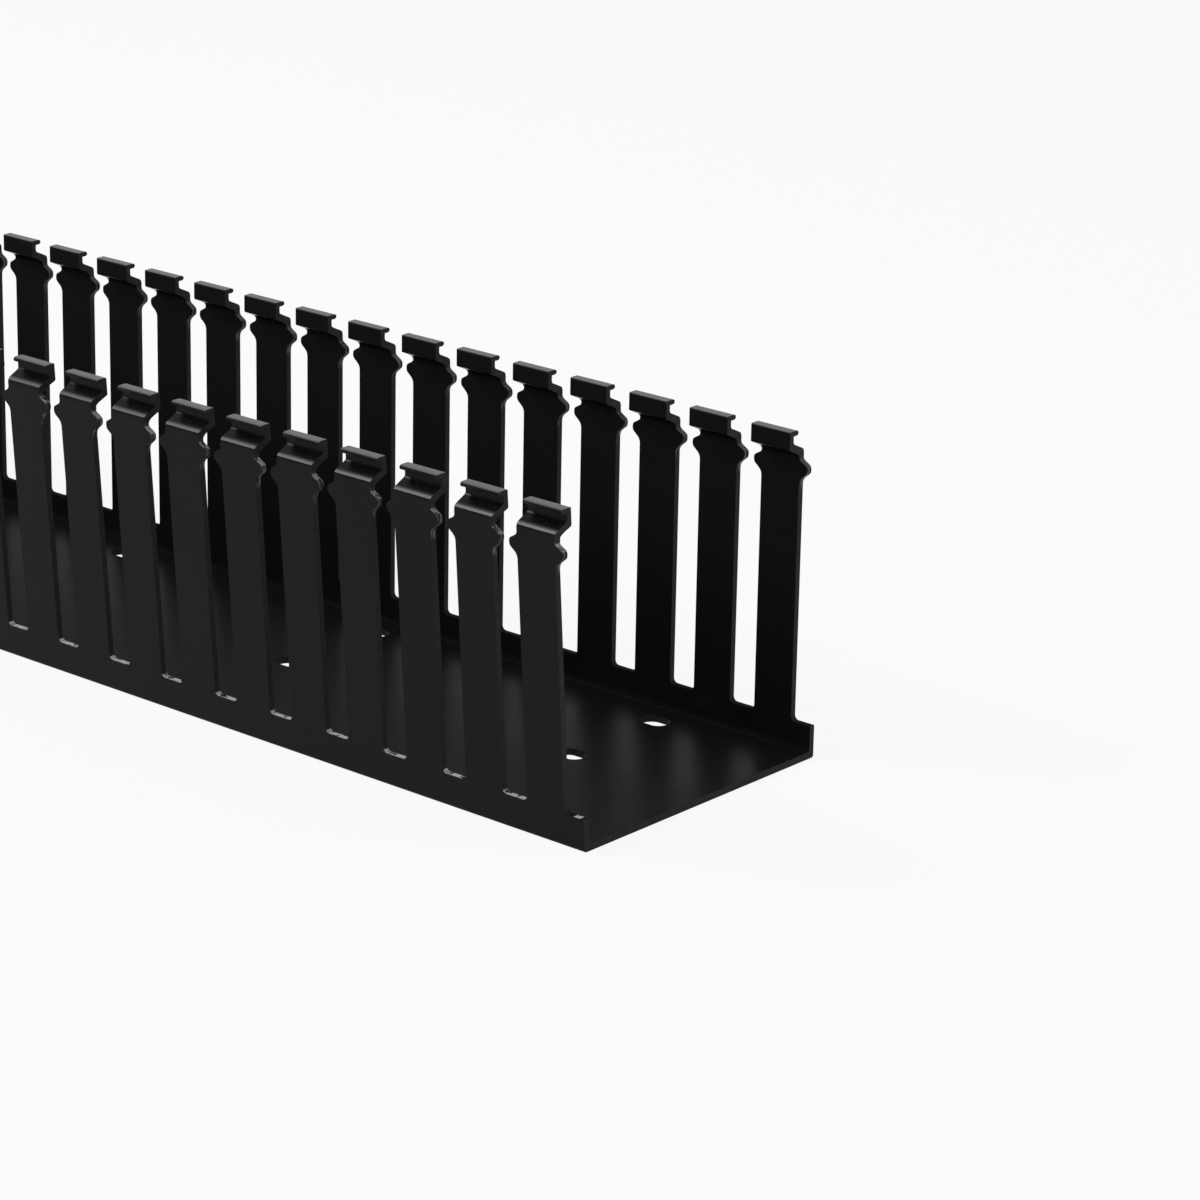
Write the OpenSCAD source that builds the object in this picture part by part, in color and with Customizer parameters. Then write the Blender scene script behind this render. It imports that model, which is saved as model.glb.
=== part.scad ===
// Slotted wire duct, open wide-slot pattern, without its cover.
// One extruded channel: a floor and two walls, the walls punched into fingers
// that end in a stepped head with a snap lip for the cover.
// Lying on its floor, length along X, width along Y, up is Z. Units are mm.

/* [Channel] */
// Length of the stick as it is sold
stick_length = 1000; // [400:20:2000]
// Width over the two walls at their feet
duct_width = 83; // [60:1:120]
// Height from the underside to the top of the heads
duct_height = 83; // [70:1:110]
// Thickness of each wall
wall_thickness = 1.6; // [1.4:0.1:2]
// Thickness of the floor
floor_thickness = 1.8; // [1.4:0.1:3]
// How far each wall top stands outside its own foot
wall_lean = 3; // [0:0.25:4]
// Radius along the outer corner of floor and wall
outer_corner_radius = 0.6; // [0.4:0.1:1.2]
// Radius along the inner corner of floor and wall
inner_corner_radius = 0.8; // [0.5:0.1:1.6]

/* [Fingers] */
// Distance from one finger to the next
finger_pitch = 20; // [18:0.5:25]
// Width of the open slot between two fingers
slot_width = 8; // [7.5:0.1:9.5]
// Height of the slot floor above the underside
slot_floor_height = 8.4; // [7:0.1:12]
// Radius in the bottom corners of each slot
slot_corner_radius = 1.2; // [0.6:0.1:2]
// Width of slot left over at the +X end, where the stick is cut off
end_slot_left = 6.2; // [2:0.1:7]
// How much wider each head is than its finger, on either side
head_overhang = 0.2; // [0.1:0.1:0.5]

/* [Finger nubs] */
// How far each nub stands out from the side of its finger
nub_reach = 2.5; // [2:0.1:3]
// Depth of the middle of the nub below the top of the heads
nub_depth = 10.1; // [9.8:0.1:11]
// Height of the blunt tip of the nub
nub_tip_height = 1.7; // [1.4:0.1:2]
// Height of the ramp below the nub tip
nub_lower_ramp = 2; // [1.8:0.1:3.5]
// Height of the ramp above the nub tip
nub_upper_ramp = 1.4; // [1.2:0.1:1.6]
// Length over which the nub runs into the finger below it
nub_lower_blend = 1.1; // [0.5:0.1:1.4]
// Length over which the other nub corners are rounded
nub_rounding = 0.6; // [0.4:0.1:0.6]

/* [Snap heads] */
// Depth of the outer shoulder edge below the top of the heads
shoulder_depth = 5.3; // [5:0.1:5.6]
// How far the shoulder rises from its outer edge to the neck
shoulder_rise = 2.1; // [1.6:0.1:2.4]
// How far the inner face of the head is set in from the outer wall face
head_inset = 5.7; // [5:0.1:6]
// Height of the inner face of the head
head_face_height = 4.6; // [4.2:0.1:4.8]
// How far the underside of the head falls towards the wall
step_fall = 2; // [1.4:0.1:2.2]
// Thickness of the upright neck of the head
neck_thickness = 1.4; // [1.2:0.1:1.7]
// How far the snap lip stands out from the neck
lip_reach = 1.8; // [1.2:0.1:2.2]
// Height of the snap lip
lip_height = 1.3; // [1.2:0.1:1.5]

/* [Mounting slots] */
// Width of each mounting slot in the floor
mount_slot_width = 6; // [4:0.1:6.5]
// Length of each mounting slot, over its round ends
mount_slot_length = 8.5; // [8:0.5:14]
// Distance between mounting slots along the stick
mount_spacing = 100; // [50:10:200]
// Distance between the rows of mounting slots
mount_row_spacing = 31; // [16:0.5:34]
// Distance from the +X end to the first mounting slots
mount_first = 43; // [20:1:60]

/* [Hidden] */
past = 1;
half_length = stick_length / 2;
half_width = duct_width / 2;
// Slots are cut from the +X end to past the -X end
slot_last = floor((stick_length - end_slot_left + slot_width) / finger_pitch);
// Mounting slots keep at least their first distance from the -X end
mount_last = floor((stick_length - 2 * mount_first) / mount_spacing);
row_reach = min(mount_row_spacing, half_width - wall_thickness - mount_slot_width);
// Lengths cut off the corners of the profile where they are rounded
shoulder_rounding = 0.8;
neck_rounding = 0.5;
head_rounding = 0.3;
step_rounding = 1.2;
// Heights of the profile, from the underside
shoulder_z = duct_height - shoulder_depth;
head_foot_z = duct_height - head_face_height;
step_z = head_foot_z - step_fall;
lip_z = duct_height - lip_height;
neck_inset = head_inset - neck_thickness;
// The head narrows to the finger over this height, from the foot of its face down
head_blend = 1;
// Heights of the nub, from the underside
nub_tip_top = duct_height - nub_depth + nub_tip_height / 2;
nub_tip_foot = nub_tip_top - nub_tip_height;

// Middle of slot i, counted from the +X end
function slot_x(i) = half_length - end_slot_left + slot_width / 2 - i * finger_pitch;

// Points on an arc from angle a to angle b
function arc(center, r, a, b, steps) =
    [for (i = [0:steps]) let (t = a + (b - a) * i / steps)
        center + r * [cos(t), sin(t)]];

// Points that round off corner p between a and b, with the given length cut off each side
function bend(a, p, b, cut, steps = 2) =
    let (from = p + cut * (a - p) / norm(a - p), to = p + cut * (b - p) / norm(b - p))
        [for (i = [0:steps]) let (t = i / steps)
            (1 - t) * (1 - t) * from + 2 * t * (1 - t) * p + t * t * to];

// A point set in from the outer face of a wall, at height z
function wall_point(inset, z) =
    [half_width - inset + wall_lean * z / duct_height, z];

// The snap head on its wall, from the shoulder over the lip to the inner face
function head_section() =
    let (wall_foot = wall_point(0, slot_floor_height),
         shoulder = wall_point(0, shoulder_z),
         neck_foot = wall_point(neck_inset, shoulder_z + shoulder_rise),
         neck_top = wall_point(neck_inset, lip_z),
         lip_foot = wall_point(neck_inset - lip_reach + lip_height / 2, lip_z),
         head_top = wall_point(head_inset, duct_height),
         head_foot = wall_point(head_inset, head_foot_z),
         step = wall_point(wall_thickness, step_z),
         wall_inside = wall_point(wall_thickness, slot_floor_height))
    concat(
        bend(wall_foot, shoulder, neck_foot, shoulder_rounding),
        bend(shoulder, neck_foot, neck_top, neck_rounding),
        [neck_top],
        arc(lip_foot + [0, lip_height / 2], lip_height / 2, -90, 90, 4),
        bend(wall_point(neck_inset, duct_height), head_top, head_foot, head_rounding),
        bend(head_top, head_foot, step, head_rounding),
        bend(head_foot, step, wall_inside, step_rounding, 3)
    );

// Half of the channel section, from the middle of the underside round
// to the middle of the floor's upper face
function half_section() = concat(
    [[0, 0]],
    arc(wall_point(outer_corner_radius, outer_corner_radius),
        outer_corner_radius, -90, 0, 3),
    head_section(),
    arc(wall_point(wall_thickness + inner_corner_radius, floor_thickness + inner_corner_radius),
        inner_corner_radius, 0, -90, 3),
    [[0, floor_thickness]]
);

// The whole section, the second half mirrored from the first
module section() {
    half = half_section();
    last = len(half) - 1;
    polygon(concat(half, [for (i = [last - 1:-1:1]) [-half[i][0], half[i][1]]]));
}

// Right side of the slot between two fingers, from its floor upwards
function slot_side() =
    let (side = slot_width / 2,
         tip = side - nub_reach,
         head = side - head_overhang,
         wall_foot = [side, slot_floor_height],
         ramp_foot = [side, nub_tip_foot - nub_lower_ramp],
         tip_foot = [tip, nub_tip_foot],
         tip_top = [tip, nub_tip_top],
         ramp_top = [side, nub_tip_top + nub_upper_ramp],
         head_foot = [side, head_foot_z - head_blend])
    concat(
        arc([side - slot_corner_radius, slot_floor_height + slot_corner_radius],
            slot_corner_radius, -90, 0, 3),
        bend(wall_foot, ramp_foot, tip_foot, nub_lower_blend, 3),
        bend(ramp_foot, tip_foot, tip_top, nub_rounding),
        bend(tip_foot, tip_top, ramp_top, nub_rounding),
        bend(tip_top, ramp_top, head_foot, nub_rounding),
        [head_foot, [head, head_foot_z], [head, duct_height + past]]
    );

// A side without a finger, where the slot runs out through the cut end
function open_side() =
    [[slot_width, slot_floor_height], [slot_width, duct_height + past]];

// The space between two fingers, through both walls
module slot_space(open_right = false, open_left = false) {
    right = open_right ? open_side() : slot_side();
    left = open_left ? open_side() : slot_side();
    through = duct_width + 2 * wall_lean + 2 * past;
    translate([0, through / 2, 0])
        rotate([90, 0, 0])
            linear_extrude(height = through)
                polygon(concat(right, [for (i = [len(left) - 1:-1:0]) [-left[i][0], left[i][1]]]));
}

// One mounting slot with round ends, through the floor
module mount_slot() {
    straight = mount_slot_length - mount_slot_width;
    translate([0, 0, -past])
        linear_extrude(height = floor_thickness + 2 * past) {
            square([straight, mount_slot_width], center = true);
            for (side = [-1, 1])
                translate([side * straight / 2, 0])
                    circle(d = mount_slot_width, $fn = 48);
        }
}

// The duct, one solid
module wire_duct() {
    color([0.07, 0.07, 0.075])
        difference() {
            translate([-half_length, 0, 0])
                rotate([90, 0, 90])
                    linear_extrude(height = stick_length)
                        section();
            for (i = [0:slot_last])
                translate([slot_x(i), 0, 0])
                    slot_space(slot_x(i) + slot_width / 2 > half_length,
                               slot_x(i) - slot_width / 2 < -half_length);
            for (i = [0:mount_last], row = [-1, 0, 1])
                translate([half_length - mount_first - i * mount_spacing, row * row_reach, 0])
                    mount_slot();
        }
}

wire_duct();
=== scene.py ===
"""Slotted wire duct: finish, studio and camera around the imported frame."""
import math

import bpy
from mathutils import Matrix, Vector


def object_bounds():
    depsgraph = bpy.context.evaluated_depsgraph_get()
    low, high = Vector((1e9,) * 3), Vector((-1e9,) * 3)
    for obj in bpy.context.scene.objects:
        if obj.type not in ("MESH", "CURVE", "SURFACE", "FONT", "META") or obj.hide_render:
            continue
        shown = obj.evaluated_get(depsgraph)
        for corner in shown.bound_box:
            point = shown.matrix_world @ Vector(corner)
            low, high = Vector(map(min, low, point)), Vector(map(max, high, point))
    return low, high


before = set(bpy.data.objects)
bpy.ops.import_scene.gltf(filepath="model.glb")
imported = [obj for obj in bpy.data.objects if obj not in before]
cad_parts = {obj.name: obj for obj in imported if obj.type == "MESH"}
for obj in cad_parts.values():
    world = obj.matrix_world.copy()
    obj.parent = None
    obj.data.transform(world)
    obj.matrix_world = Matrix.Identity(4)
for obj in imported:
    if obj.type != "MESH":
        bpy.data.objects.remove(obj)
CAD_LOW, CAD_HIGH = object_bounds()

MM = 0.001

# Camera, placed from the cut end of the duct that faces it
CAMERA_AZIMUTH = 42.677     # degrees round from the long side towards the cut end
CAMERA_ELEVATION = 19.12    # degrees above the floor
CAMERA_ROLL = -0.354        # degrees round the line of sight
CAMERA_OFFSET = Vector((637.7, -727.36, 387.18)) * MM   # from the middle of the cut end, on the floor
CAMERA_LENS = 130.01        # mm
CAMERA_SENSOR = 36.0        # mm
CAMERA_REACH = 100.0        # metres that the camera sees

# Places on the duct
CUT_END = CAD_HIGH.x
DUCT_TOP = CAD_HIGH.z
SHOULDER = DUCT_TOP - 5.2 * MM
NUB_MIDDLE = DUCT_TOP - 10.1 * MM

# Bands of its finish, each as middle, half width and softness
SLOT_FLOOR_BAND = (8.4 * MM, 0.5 * MM, 0.6 * MM)
INNER_CORNER_BAND = (2.2 * MM, 0.28 * MM, 0.1 * MM)
NUB_RAMP_BAND = (NUB_MIDDLE + 1.6 * MM, 0.9 * MM, 0.7 * MM)
NUB_SIDE_BAND = (NUB_MIDDLE - 1.2 * MM, 2.4 * MM, 2.4 * MM)
SHOULDER_BAND = (SHOULDER, 0.15 * MM, 0.5 * MM)
SAWN_BAND = (CUT_END - 2.2 * MM, 0.6 * MM, 0.7 * MM)

# Places between which a mark comes up, from none to full
HEAD_RISE = (SHOULDER - 0.9 * MM, SHOULDER - 0.5 * MM)
HEAD_TOP_RISE = (DUCT_TOP - 0.4 * MM, DUCT_TOP - 0.1 * MM)
TORN_WALL_RISE = (10 * MM, -10 * MM)
INSIDE_RISE = (CUT_END - 8 * MM, CUT_END - 9 * MM)

# How far a face looks along the stick, or up, for a mark to come up, from none to full
PUNCHED_TURN = (0.12, 0.3)
SLOT_FLOOR_TURN = (0.3, 0.7)
INNER_CORNER_TURN = (0.15, 0.4)
NUB_RAMP_TURN = (0.2, 0.6)
HEAD_TOP_TURN = (0.2, 0.6)
SHOULDER_TURN = (0.25, 0.7)
LEVEL_TURN = (0.8, 0.95)

# Noise levels between which a pattern comes up, from none to full
PATCHES = (0.38, 0.5)
STREAKS = (0.42, 0.68)
SPECKLE = (0.45, 0.7)

# Greys of the finish, as a darkest and a lightest where they vary
SKIN = (0.0046, 0.0072)
SKIN_WARMTH = 0.02
LEVEL_SKIN = (0.0016, 0.0115)
# Painted shade: the inner corners, where the walls meet the floor, are darkened
INNER_CORNER_PAINTED_SHADE = 0.001
CUT_FACE = (0.008, 0.03)
# The grey of the head tops and shoulder ridges is partly wear and partly painted highlight
RUB_AND_HIGHLIGHT_GREY = 0.14
# The white of the slot floors is partly tearing and partly painted highlight
TORN_WHITE_AND_HIGHLIGHT = 0.45

# How strongly the marks show
# The grey on the shoulder ridges and head tops is partly wear and partly painted highlight, varied by the
# grain
SHOULDER_RUB_AND_HIGHLIGHT = 0.8
RUB_AND_HIGHLIGHT_LEAST = 0.7
RUB_AND_HIGHLIGHT_GRAIN = 0.6
RAMP_WHITE_LEAST = 0.15
RAMP_WHITE_TORN_WALL = 0.5
SCUFF = 0.32

# Gloss: the skin's own roughness, and what the patterns and marks add to it
SPECULAR_LEVEL = 0.08
SKIN_ROUGHNESS = 0.265
DRAWN_ROUGHNESS = 0.1
CLOUD_ROUGHNESS = 0.06
HEAD_ROUGHNESS = -0.1
PUNCHED_ROUGHNESS = 0.2
SLOT_FLOOR_ROUGHNESS = 0.6
INNER_CORNER_ROUGHNESS = 0.6

# Fine relief: what each pattern adds to the height, then the strength and depth of the whole
DRAWN_RELIEF = 0.5
GRAIN_RELIEF = 0.25
TORN_RELIEF = 3.0
RELIEF_STRENGTH = 0.25
RELIEF_DEPTH = 0.03 * MM

# Rounding of the moulded edges
WELD_DISTANCE = 0.001 * MM
FLAT_ANGLE = math.radians(0.5)
EDGE_RADIUS = 0.12 * MM
EDGE_SEGMENTS = 2
EDGE_ANGLE = math.radians(35)

# Studio; a white is its share straight from the camera and its share by way of gloss
FLOOR_HALF_SIZE = 12.0
FLOOR_DROP = 0.05 * MM
FLOOR_GREY = 0.8
FLOOR_WHITE = (0.9, 0.7)
WORLD_STRENGTH = 0.36
WORLD_WHITE = (1.0, 0.69)

# Lamps: name, place and aim from the middle of the cut end, on the floor, side in metres, watts
LAMPS = (
    ("key", (-1.05, -0.6, 1.2), (-0.15, 0, 0), 0.5, 13),
    ("side", (1.3, 0.5, 0.9), (0, 0, 0), 1.0, 7),
)


def grey(level, warmth=0.0):
    return (level * (1 + warmth), level, level * (1 - warmth), 1)


class Nodes:
    """Fills one node tree. A value is a number, a colour or another node's socket."""

    def __init__(self, tree):
        self.tree = tree
        tree.nodes.clear()

    def add(self, kind):
        return self.tree.nodes.new(kind)

    def feed(self, socket, value):
        if isinstance(value, (int, float, tuple)):
            socket.default_value = value
        else:
            self.tree.links.new(value, socket)

    def math(self, operation, first, second=None, clamp=False):
        made = self.add("ShaderNodeMath")
        made.operation = operation
        made.use_clamp = clamp
        self.feed(made.inputs[0], first)
        if second is not None:
            self.feed(made.inputs[1], second)
        return made.outputs[0]

    def product(self, first, *others):
        for other in others:
            first = self.math("MULTIPLY", first, other)
        return first

    def largest(self, first, *others):
        for other in others:
            first = self.math("MAXIMUM", first, other)
        return first

    def weighted(self, start, *rows, clamp=False):
        """The start value and each row's value times its weight, added up."""
        for value, weight in rows:
            start = self.math("ADD", start, self.math("MULTIPLY", value, weight), clamp)
        return start

    def rise(self, value, start, end):
        """0 at the start value and 1 at the end value, smooth between."""
        made = self.add("ShaderNodeMapRange")
        made.interpolation_type = "SMOOTHSTEP"
        made.inputs["From Min"].default_value = start
        made.inputs["From Max"].default_value = end
        self.feed(made.inputs["Value"], value)
        return made.outputs["Result"]

    def band(self, value, middle, half_width, softness):
        """1 where the value is within half_width of the middle, falling to 0 over the softness."""
        distance = self.math("ABSOLUTE", self.math("SUBTRACT", value, middle))
        return self.rise(distance, half_width + softness, half_width)

    def noise(self, place, scale, detail, roughness=0.5, stretch=(1, 1, 1)):
        """A noise value over the object, in cells of about 1 / scale metres."""
        mapping = self.add("ShaderNodeMapping")
        mapping.inputs["Scale"].default_value = stretch
        self.feed(mapping.inputs["Vector"], place)
        made = self.add("ShaderNodeTexNoise")
        made.inputs["Scale"].default_value = scale
        made.inputs["Detail"].default_value = detail
        made.inputs["Roughness"].default_value = roughness
        self.feed(made.inputs["Vector"], mapping.outputs[0])
        return made.outputs[0]

    def mix(self, share, first, second):
        """The first colour, turned into the second by the share."""
        made = self.add("ShaderNodeMix")
        made.data_type = "RGBA"
        self.feed(made.inputs[0], share)
        self.feed(made.inputs[6], first)
        self.feed(made.inputs[7], second)
        return made.outputs[2]

    def split(self, vector):
        """The x, y and z of a vector."""
        made = self.add("ShaderNodeSeparateXYZ")
        self.feed(made.inputs[0], vector)
        return made.outputs


def duct_patterns(nodes, place):
    """Noise over the duct; the drawn lines are drawn out along the stick."""
    torn = nodes.noise(place, scale=520, detail=3, roughness=0.65)
    scuffs = nodes.noise(place, scale=1500, detail=2, stretch=(0.5, 1, 0.22))
    specks = nodes.noise(place, scale=1700, detail=2)
    return {
        "drawn": nodes.noise(place, scale=900, detail=4, roughness=0.6, stretch=(0.004, 1, 1)),
        "cloud": nodes.noise(place, scale=45, detail=3),
        "grain": nodes.noise(place, scale=2600, detail=2),
        "torn": torn,
        "patches": nodes.rise(torn, *PATCHES),
        "streaks": nodes.rise(scuffs, *STREAKS),
        "speckle": nodes.rise(specks, *SPECKLE),
    }


def duct_marks(nodes, place, normal):
    """Where the duct looks unlike its drawn skin, each mark from 0 to 1."""
    along, across, height = nodes.split(place)
    normal_along, _, upwards = nodes.split(normal)
    punched = nodes.rise(nodes.math("ABSOLUTE", normal_along), *PUNCHED_TURN)

    # The slots of the wall at -Y tore white, with painted highlight on their floors, those of the other
    # wall hardly, and little of the slot that the saw opened
    torn_wall = nodes.rise(across, *TORN_WALL_RISE)
    sawn_or_inside = nodes.largest(nodes.rise(along, *INSIDE_RISE), nodes.band(along, *SAWN_BAND))

    def facing_up(band, turn):
        return nodes.product(nodes.band(height, *band), nodes.rise(upwards, *turn))

    head_top = nodes.product(nodes.rise(height, *HEAD_TOP_RISE), nodes.rise(upwards, *HEAD_TOP_TURN))
    return {
        "punched": punched,
        "torn_wall": torn_wall,
        "torn_here": nodes.product(torn_wall, sawn_or_inside),
        "slot_floor": facing_up(SLOT_FLOOR_BAND, SLOT_FLOOR_TURN),
        "inner_corner": facing_up(INNER_CORNER_BAND, INNER_CORNER_TURN),
        "nub_ramp": nodes.product(facing_up(NUB_RAMP_BAND, NUB_RAMP_TURN), punched),
        "nub_side": nodes.product(nodes.band(height, *NUB_SIDE_BAND), punched),
        "level": nodes.rise(upwards, *LEVEL_TURN),
        "head_top": head_top,
        "head_side": nodes.math("SUBTRACT", nodes.rise(height, *HEAD_RISE), head_top),
        "shoulder": facing_up(SHOULDER_BAND, SHOULDER_TURN),
    }


def duct_colour(nodes, patterns, marks):
    """Black skin, speckled where level, greyer where it is cut, with painted shade in the inner corners, a
    grey on the head tops and shoulder ridges that is partly wear and partly painted highlight, and white
    where it tore, which on the slot floors is partly painted highlight.
    """
    # Head tops and shoulder ridges go grey: partly wear, partly painted highlight
    rub_and_highlight = nodes.largest(marks["head_top"], nodes.product(marks["shoulder"], SHOULDER_RUB_AND_HIGHLIGHT))
    rub_and_highlight = nodes.product(rub_and_highlight, nodes.weighted(RUB_AND_HIGHLIGHT_LEAST, (patterns["grain"], RUB_AND_HIGHLIGHT_GRAIN)))
    # White on the slot floors: partly tearing, partly painted highlight
    slot_floor_white_and_highlight = nodes.product(marks["slot_floor"], patterns["patches"], marks["torn_here"])
    torn_ramp = nodes.product(marks["nub_ramp"], patterns["patches"],
                              nodes.weighted(RAMP_WHITE_LEAST, (marks["torn_wall"], RAMP_WHITE_TORN_WALL)))
    scuffed = nodes.product(marks["nub_side"], patterns["streaks"], SCUFF)

    skin = nodes.mix(patterns["cloud"], grey(SKIN[0]), grey(SKIN[1], SKIN_WARMTH))
    level_skin = nodes.mix(patterns["speckle"], grey(LEVEL_SKIN[0]), grey(LEVEL_SKIN[1]))
    cut_face = nodes.mix(patterns["torn"], grey(CUT_FACE[0]), grey(CUT_FACE[1]))
    colour = nodes.mix(marks["level"], skin, level_skin)
    # Painted shade darkens the inner corners
    colour = nodes.mix(marks["inner_corner"], colour, grey(INNER_CORNER_PAINTED_SHADE))
    colour = nodes.mix(marks["punched"], colour, cut_face)
    colour = nodes.mix(rub_and_highlight, colour, grey(RUB_AND_HIGHLIGHT_GREY))
    return nodes.mix(nodes.largest(slot_floor_white_and_highlight, torn_ramp, scuffed), colour, grey(TORN_WHITE_AND_HIGHLIGHT))


def duct_roughness(nodes, patterns, marks):
    """Satin skin, glossier on the sides of the heads, and dull on cuts and in the inner corners."""
    return nodes.weighted(
        SKIN_ROUGHNESS,
        (patterns["drawn"], DRAWN_ROUGHNESS),
        (patterns["cloud"], CLOUD_ROUGHNESS),
        (marks["head_side"], HEAD_ROUGHNESS),
        (marks["punched"], PUNCHED_ROUGHNESS),
        (marks["slot_floor"], SLOT_FLOOR_ROUGHNESS),
        (marks["inner_corner"], INNER_CORNER_ROUGHNESS),
        clamp=True)


def duct_relief(nodes, patterns, marks):
    """A bumped normal: faint drawn lines and grain, and torn cut faces."""
    cut = nodes.largest(marks["punched"], marks["slot_floor"])
    bump = nodes.add("ShaderNodeBump")
    bump.inputs["Strength"].default_value = RELIEF_STRENGTH
    bump.inputs["Distance"].default_value = RELIEF_DEPTH
    nodes.feed(bump.inputs["Height"], nodes.weighted(
        0,
        (patterns["drawn"], DRAWN_RELIEF),
        (patterns["grain"], GRAIN_RELIEF),
        (nodes.product(patterns["torn"], cut), TORN_RELIEF)))
    return bump.outputs[0]


def duct_material():
    """Satin black rigid PVC, with what drawing, punching, tearing and rubbing left on it, and with painted
    highlight on the head tops, shoulder ridges and slot floors and painted shade in the inner corners.
    """
    material = bpy.data.materials.new("duct_black_pvc")
    material.use_nodes = True
    nodes = Nodes(material.node_tree)
    coordinates = nodes.add("ShaderNodeTexCoord")
    patterns = duct_patterns(nodes, coordinates.outputs["Object"])
    marks = duct_marks(nodes, coordinates.outputs["Object"], coordinates.outputs["Normal"])
    shader = nodes.add("ShaderNodeBsdfPrincipled")
    shader.inputs["Specular IOR Level"].default_value = SPECULAR_LEVEL
    nodes.feed(shader.inputs["Base Color"], duct_colour(nodes, patterns, marks))
    nodes.feed(shader.inputs["Roughness"], duct_roughness(nodes, patterns, marks))
    nodes.feed(shader.inputs["Normal"], duct_relief(nodes, patterns, marks))
    nodes.feed(nodes.add("ShaderNodeOutputMaterial").inputs[0], shader.outputs[0])
    return material


def soften_edges(duct):
    """Rounds the moulded edges of the duct a little, with modifiers only."""
    weld = duct.modifiers.new("weld", "WELD")
    weld.merge_threshold = WELD_DISTANCE
    flat = duct.modifiers.new("flat", "DECIMATE")
    flat.decimate_type = "DISSOLVE"
    flat.angle_limit = FLAT_ANGLE
    bevel = duct.modifiers.new("edges", "BEVEL")
    bevel.width = EDGE_RADIUS
    bevel.segments = EDGE_SEGMENTS
    bevel.limit_method = "ANGLE"
    bevel.angle_limit = EDGE_ANGLE
    bevel.harden_normals = False


def white_when_seen(nodes, plain, white, shares):
    """Mixes a plain shader with a white one, by one share for rays straight from the camera
    and another for rays by way of gloss and glass."""
    direct, in_gloss = shares
    path = nodes.add("ShaderNodeLightPath")
    mirrored = nodes.math("ADD", path.outputs["Is Glossy Ray"], path.outputs["Is Transmission Ray"],
                          clamp=True)
    share = nodes.weighted(0, (path.outputs["Is Camera Ray"], direct), (mirrored, in_gloss), clamp=True)
    white.inputs["Color"].default_value = grey(1)
    mix = nodes.add("ShaderNodeMixShader")
    nodes.feed(mix.inputs[0], share)
    nodes.feed(mix.inputs[1], plain.outputs[0])
    nodes.feed(mix.inputs[2], white.outputs[0])
    return mix.outputs[0]


def studio_floor():
    """A wide pale floor just under the duct."""
    mesh = bpy.data.meshes.new("studio_floor")
    half, height = FLOOR_HALF_SIZE, CAD_LOW.z - FLOOR_DROP
    corners = [(-half, -half, height), (half, -half, height), (half, half, height), (-half, half, height)]
    mesh.from_pydata(corners, [], [(0, 1, 2, 3)])
    floor = bpy.data.objects.new("studio_floor", mesh)
    bpy.context.scene.collection.objects.link(floor)
    material = bpy.data.materials.new("studio_white")
    material.use_nodes = True
    nodes = Nodes(material.node_tree)
    plain = nodes.add("ShaderNodeBsdfDiffuse")
    plain.inputs["Color"].default_value = grey(FLOOR_GREY)
    seen = white_when_seen(nodes, plain, nodes.add("ShaderNodeEmission"), FLOOR_WHITE)
    nodes.feed(nodes.add("ShaderNodeOutputMaterial").inputs[0], seen)
    mesh.materials.append(material)


def studio_world():
    """Soft light from all round, which looks white."""
    world = bpy.data.worlds.new("studio")
    bpy.context.scene.world = world
    world.use_nodes = True
    nodes = Nodes(world.node_tree)
    plain = nodes.add("ShaderNodeBackground")
    plain.inputs["Color"].default_value = grey(1)
    plain.inputs["Strength"].default_value = WORLD_STRENGTH
    seen = white_when_seen(nodes, plain, nodes.add("ShaderNodeBackground"), WORLD_WHITE)
    nodes.feed(nodes.add("ShaderNodeOutputWorld").inputs[0], seen)


def area_lamp(name, place, aim, side, power):
    """A square lamp, its place and aim counted from the middle of the cut end, on the floor."""
    light = bpy.data.lights.new(name, "AREA")
    light.shape = "RECTANGLE"
    light.size = side
    light.size_y = side
    light.energy = power
    lamp = bpy.data.objects.new(name, light)
    bpy.context.scene.collection.objects.link(lamp)
    end = Vector((CUT_END, 0, 0))
    place, aim = end + Vector(place), end + Vector(aim)
    turned = (aim - place).to_track_quat("-Z", "Y").to_matrix().to_4x4()
    lamp.matrix_world = Matrix.Translation(place) @ turned


def photo_camera():
    """The camera, looking along its azimuth and elevation."""
    azimuth, elevation = math.radians(CAMERA_AZIMUTH), math.radians(CAMERA_ELEVATION)
    back = Vector((math.sin(azimuth) * math.cos(elevation),
                   -math.cos(azimuth) * math.cos(elevation),
                   math.sin(elevation)))
    data = bpy.data.cameras.new("camera")
    data.lens = CAMERA_LENS
    data.sensor_width = CAMERA_SENSOR
    data.clip_end = CAMERA_REACH
    camera = bpy.data.objects.new("camera", data)
    bpy.context.scene.collection.objects.link(camera)
    place = Vector((CUT_END, 0, CAD_LOW.z)) + CAMERA_OFFSET
    turned = back.to_track_quat("Z", "Y").to_matrix().to_4x4()
    roll = Matrix.Rotation(math.radians(CAMERA_ROLL), 4, "Z")
    camera.matrix_world = Matrix.Translation(place) @ turned @ roll
    bpy.context.scene.camera = camera


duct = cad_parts["wire_duct"]
duct.material_slots[0].material = duct_material()
soften_edges(duct)
studio_floor()
studio_world()
for lamp_row in LAMPS:
    area_lamp(*lamp_row)
photo_camera()

bpy.context.scene.view_settings.view_transform = "Standard"
